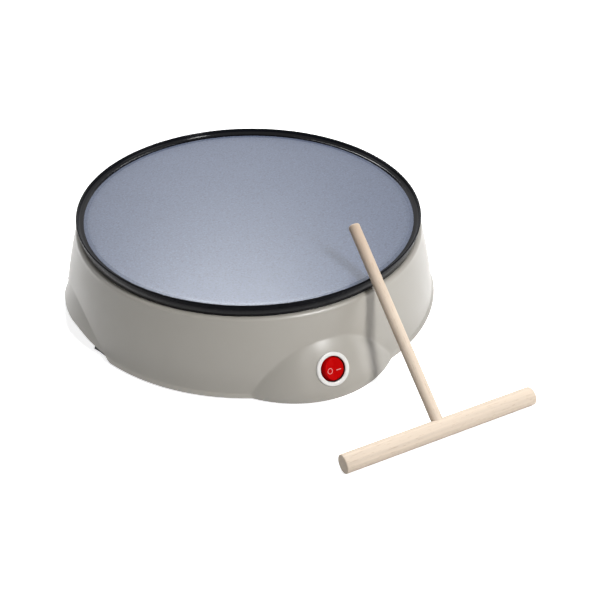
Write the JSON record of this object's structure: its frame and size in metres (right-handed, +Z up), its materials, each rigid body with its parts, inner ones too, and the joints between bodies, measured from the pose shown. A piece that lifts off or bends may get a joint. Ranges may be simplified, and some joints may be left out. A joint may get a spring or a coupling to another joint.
{
  "type": "electric crepe maker",
  "caption": "Round countertop crepe maker with a lipped hot plate on a flared ring body, a rocker switch on the front lug, side grips and a T-shaped wooden batter spreader.",
  "frame": {"origin": "on the counter, at the middle of the circle of the four feet", "axes": "+Z up, the way the cooking surface faces; -Y towards the switch lug at the front; +X to the right"},
  "size_m": [0.3368, 0.4478, 0.1129],
  "materials": {
    "plate_coating": "dark stone-flecked non-stick coating",
    "seal_black": "matt black silicone",
    "body_taupe": "satin taupe moulding",
    "cover_black": "matt black moulding",
    "steel": "plain steel",
    "shield_aluminised": "aluminised sheet",
    "zinc_screw": "bright zinc plated",
    "brass": "plain brass",
    "ceramic": "glazed ceramic",
    "white_plastic": "gloss white moulding",
    "rocker_red": "gloss red moulding",
    "mark_pale": "pale printed mark",
    "gland_black": "matt black rubber",
    "foot_rubber": "matt dark rubber",
    "lead_red": "silicone insulation",
    "lead_black": "silicone insulation",
    "lead_white": "silicone insulation",
    "lead_blue": "silicone insulation",
    "lead_green": "green and yellow insulation",
    "beech": "bare sanded beech"
  },
  "bodies": {
    "base": {"hot_plate": "plate_coating", "plate_seal": "seal_black", "body_shell": "body_taupe", "base_cover": "cover_black", "heating_element": "steel", "element_bushes": "ceramic", "element_clamps": "steel", "heat_shield": "shield_aluminised", "shield_standoffs": "steel", "plate_screws": "zinc_screw", "heater_screws": "zinc_screw", "shell_screws": "zinc_screw", "thermostat": "steel", "thermostat_bracket": "steel", "thermal_fuse": "ceramic", "fuse_clip": "steel", "earth_tag": "brass", "terminal_block": "white_plastic", "terminal_barrels": "brass", "block_screw": "zinc_screw", "cord_gland": "gland_black", "gland_nut": "cover_black", "cord_clamp": "cover_black", "clamp_screws": "zinc_screw", "lead_live": "lead_red", "lead_switched": "lead_black", "lead_element": "lead_black", "lead_fuse": "lead_white", "lead_neutral": "lead_blue", "lead_earth": "lead_green", "switch_housing": "white_plastic", "switch_terminals": "brass", "foot_front_left": "foot_rubber", "foot_front_right": "foot_rubber", "foot_rear_left": "foot_rubber", "foot_rear_right": "foot_rubber"},
    "rocker": {"switch_rocker": "rocker_red", "rocker_marks": "mark_pale", "rocker_plunger": "steel"},
    "lever": {"contact_lever": "brass"},
    "spreader": {"spreader_bar": "beech", "spreader_handle": "beech"}
  },
  "joints": [
    {"name": "rocker_tip", "type": "hinge", "parent": "base", "child": "rocker", "pos_m": [0, -0.16715, 0.0212], "axis": [0, -0.5, -0.866], "range_deg": [0, 18]},
    {"name": "lever_tip", "type": "hinge", "parent": "base", "child": "lever", "pos_m": [0, -0.16057, 0.0174], "axis": [0, 0.5, 0.866], "range_deg": [0, 10.8]},
    {"name": "spreader_lift", "type": "slide", "parent": "base", "child": "spreader", "axis": [0, 0, 1], "range_m": [0, 0.15]}
  ],
  "couplings": [
    {"joint": "lever_tip", "follows": "rocker_tip", "ratio": 0.6}
  ]
}
